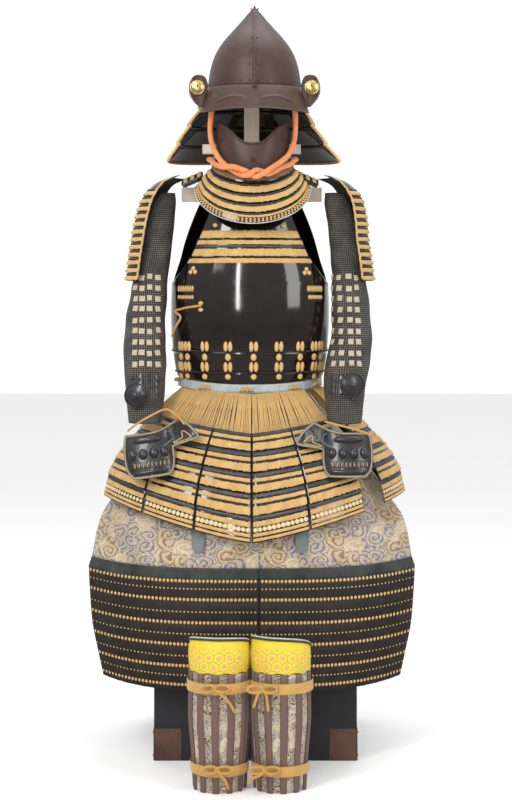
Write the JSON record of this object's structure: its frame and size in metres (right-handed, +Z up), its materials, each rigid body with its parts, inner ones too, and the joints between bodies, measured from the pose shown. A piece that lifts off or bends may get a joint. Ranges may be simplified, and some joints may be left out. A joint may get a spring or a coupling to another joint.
{
  "type": "samurai armour on stand",
  "caption": "Full lamellar armour with helmet, half mask, cuirass, laced tassets, thigh apron, mail sleeves and shin guards on a cross-post and chest.",
  "frame": {"origin": "on the floor, under the middle of the chest that the armour stands on", "axes": "+Z up, +X to the left of a wearer, -Y the way the armour faces"},
  "size_m": [0.703, 0.701, 1.611],
  "materials": {
    "black_lacquer": "black lacquer over iron and rawhide, glossy",
    "brown_lacquer": "russet brown lacquer over iron, satin",
    "laced_lames": "gold lacquered lames close-laced in ochre silk braid",
    "mail_cloth": "black mail with small plates sewn to brocade",
    "brocade": "beige silk brocade with blue and brown scrolling motifs",
    "leather": "dark green-black leather",
    "belt_leather": "pale grey-blue patterned leather",
    "scale_panel": "black lacquered scales sewn to cloth, with pale studs",
    "hexagon_cloth": "yellow cloth with a hexagon lattice and orange dots",
    "chin_cord": "orange braided silk cord",
    "stand_wood": "pale painted wood",
    "chest_lacquer": "black lacquered wood with iron corners, satin"
  },
  "bodies": {
    "root": {"apron_band_l": "leather", "apron_band_r": "leather", "apron_cloth_l": "brocade", "apron_cloth_r": "brocade", "apron_scales_l": "scale_panel", "apron_scales_r": "scale_panel", "arm_dome_l": "black_lacquer", "arm_dome_r": "black_lacquer", "backplate": "black_lacquer", "belt_band": "belt_leather", "breastplate": "black_lacquer", "chest_body": "chest_lacquer", "chest_lame_1": "black_lacquer", "chest_lame_2": "black_lacquer", "chest_lid": "chest_lacquer", "chin_cord": "chin_cord", "face_mask": "brown_lacquer", "hand_guard_l": "black_lacquer", "hand_guard_r": "black_lacquer", "helmet_bowl": "brown_lacquer", "helmet_visor": "brown_lacquer", "knee_cover_l": "hexagon_cloth", "knee_cover_r": "hexagon_cloth", "neck_lame_1": "laced_lames", "neck_lame_2": "laced_lames", "neck_lame_3": "laced_lames", "neck_lame_4": "laced_lames", "shin_guard_l": "brocade", "shin_guard_r": "brocade", "shoulder_bar": "stand_wood", "shoulder_guard_l": "laced_lames", "shoulder_guard_r": "laced_lames", "shoulder_strap_l": "leather", "shoulder_strap_r": "leather", "shoulder_wing_l": "laced_lames", "shoulder_wing_r": "laced_lames", "sleeve_l": "mail_cloth", "sleeve_r": "mail_cloth", "stand_post": "stand_wood", "tasset_back_1": "laced_lames", "tasset_back_2": "laced_lames", "tasset_back_3": "laced_lames", "tasset_back_4": "laced_lames", "tasset_front_1": "laced_lames", "tasset_front_2": "laced_lames", "tasset_front_3": "laced_lames", "tasset_front_4": "laced_lames", "tasset_side_l": "laced_lames", "tasset_side_r": "laced_lames", "throat_lame_1": "laced_lames", "throat_lame_2": "laced_lames", "throat_lame_3": "laced_lames", "throat_lame_4": "laced_lames", "throat_lame_5": "laced_lames", "tongue_l": "leather", "tongue_r": "leather", "turnback_l": "brown_lacquer", "turnback_r": "brown_lacquer", "waist_lame_1": "black_lacquer", "waist_lame_2": "black_lacquer"}
  },
  "joints": []
}
